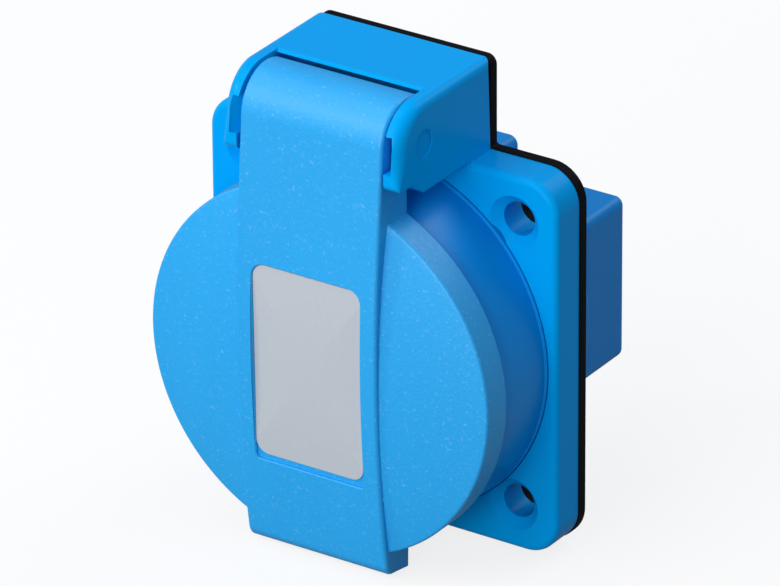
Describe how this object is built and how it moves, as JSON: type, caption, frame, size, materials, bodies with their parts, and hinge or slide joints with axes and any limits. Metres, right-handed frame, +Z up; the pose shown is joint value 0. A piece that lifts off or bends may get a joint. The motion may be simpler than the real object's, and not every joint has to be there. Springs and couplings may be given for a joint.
{
  "type": "panel-mount mains socket with hinged lid",
  "caption": "Square-flanged panel-mount mains socket with a round earthed plug well, a spring-closed hinged lid on a top tower, a sealing gasket and a rear terminal box.",
  "frame": {"origin": "centre of the four fixing holes, on the panel's face at the gasket's back", "axes": "+X to the right seen from the front, +Y into the panel, +Z up towards the hinge"},
  "size_m": [0.0502, 0.0442, 0.0627],
  "materials": {
    "blue_plastic": "moulded blue thermoplastic, finely textured on the lid",
    "black_rubber": "matt black moulded rubber",
    "silver_label": "satin silver-grey polyester sticker",
    "steel": "bright zinc-plated steel",
    "brass": "stamped brass"
  },
  "bodies": {
    "socket": {"flange_frame": "blue_plastic", "flange_gasket": "black_rubber", "socket_insert": "blue_plastic", "hinge_pin": "steel", "lid_spring": "steel", "terminal_block": "blue_plastic", "block_screws": "steel", "line_contact": "brass", "neutral_contact": "brass", "line_grip_ring": "steel", "neutral_grip_ring": "steel", "earth_strap": "brass", "line_clamp": "steel", "neutral_clamp": "steel", "earth_clamp": "steel", "line_screw": "steel", "neutral_screw": "steel", "earth_screw": "steel"},
    "lid": {"lid": "blue_plastic", "lid_seal": "black_rubber", "rating_label": "silver_label"}
  },
  "joints": [
    {"name": "lid_hinge", "type": "hinge", "parent": "socket", "child": "lid", "pos_m": [0, -0.0162, 0.0316], "axis": [-1, 0, 0], "range_deg": [0, 110], "stiffness_Nm_per_rad": 0.02, "springref_deg": -57.3, "deforming": ["lid_spring"]}
  ]
}
